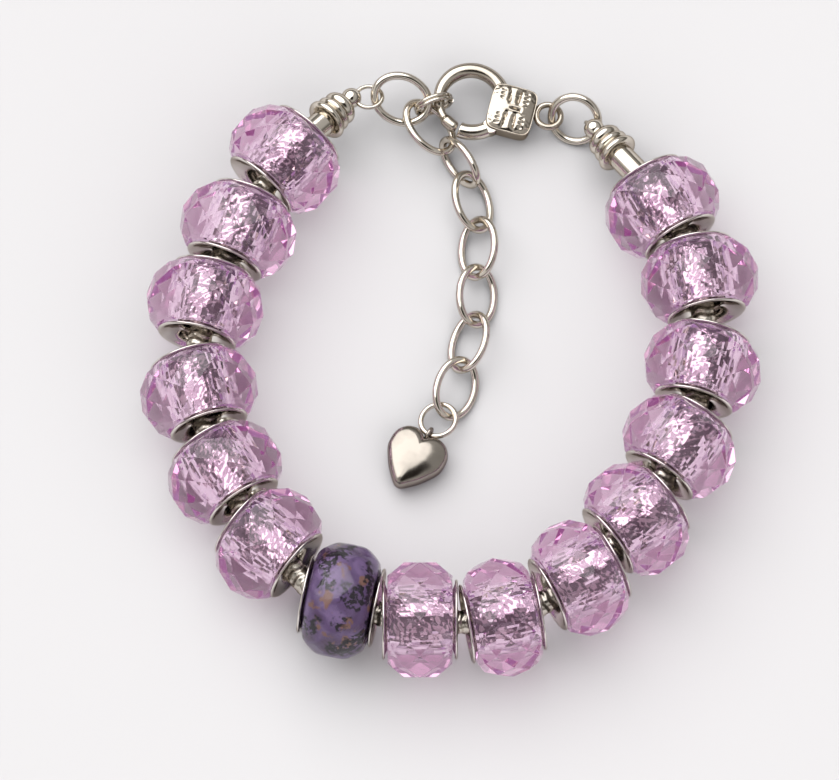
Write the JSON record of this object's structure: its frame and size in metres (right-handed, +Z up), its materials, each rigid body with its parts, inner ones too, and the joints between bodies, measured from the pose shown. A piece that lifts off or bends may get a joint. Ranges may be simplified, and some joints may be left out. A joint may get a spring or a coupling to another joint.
{
  "type": "beaded bracelet",
  "caption": "Bracelet of faceted large-hole beads on a snake chain, closed by a hoop clasp, with a link chain and a puffed heart lying inside the loop.",
  "frame": {"origin": "centre of the bracelet's footprint, on the surface that it lies on", "axes": "+Z up from the surface; +Y from the middle of the bead row towards the clasp, across the wrist hollow; +X to the side where the clasp's eye is"},
  "size_m": [0.0736, 0.0788, 0.0143],
  "materials": {
    "lilac_bead": "clear lilac acrylic, cut in diamond facets and polished",
    "purple_bead": "slate-purple marbled acrylic with dark flecks and copper patches, polished",
    "core_plate": "bright silver-tone plating",
    "snake_chain": "plated snake chain, fine scales",
    "silver_tone": "warm silver-tone plating, light wear",
    "heart_polish": "mirror-polished silver tone"
  },
  "bodies": {
    "bracelet": {"bead_01": "lilac_bead", "bead_02": "lilac_bead", "bead_03": "lilac_bead", "bead_04": "lilac_bead", "bead_05": "lilac_bead", "bead_06": "lilac_bead", "bead_07": "purple_bead", "bead_08": "lilac_bead", "bead_09": "lilac_bead", "bead_10": "lilac_bead", "bead_11": "lilac_bead", "bead_12": "lilac_bead", "bead_13": "lilac_bead", "bead_14": "lilac_bead", "bead_15": "lilac_bead", "bead_core_01": "core_plate", "bead_core_02": "core_plate", "bead_core_03": "core_plate", "bead_core_04": "core_plate", "bead_core_05": "core_plate", "bead_core_06": "core_plate", "bead_core_07": "core_plate", "bead_core_08": "core_plate", "bead_core_09": "core_plate", "bead_core_10": "core_plate", "bead_core_11": "core_plate", "bead_core_12": "core_plate", "bead_core_13": "core_plate", "bead_core_14": "core_plate", "bead_core_15": "core_plate", "core_chain": "snake_chain", "end_cap_left": "silver_tone", "end_cap_right": "silver_tone", "cap_ring_left": "silver_tone", "cap_ring_right": "silver_tone", "link_left": "silver_tone", "jump_ring_right": "silver_tone", "chain_link_1": "silver_tone", "chain_link_2": "silver_tone", "chain_link_3": "silver_tone", "chain_link_4": "silver_tone", "chain_link_5": "silver_tone", "chain_link_6": "silver_tone", "chain_link_7": "silver_tone", "heart_ring": "silver_tone", "split_ring": "silver_tone", "clasp_body": "silver_tone", "heart_charm": "heart_polish"},
    "clasp_lever": {"clasp_lever": "silver_tone"}
  },
  "joints": [
    {"name": "lever_hinge", "type": "hinge", "parent": "bracelet", "child": "clasp_lever", "pos_m": [0.00471, 0.03139, 0.00275], "axis": [-0.0846, 0.0211, -0.9962], "range_deg": [0, 32], "stiffness_Nm_per_rad": 0.001}
  ]
}
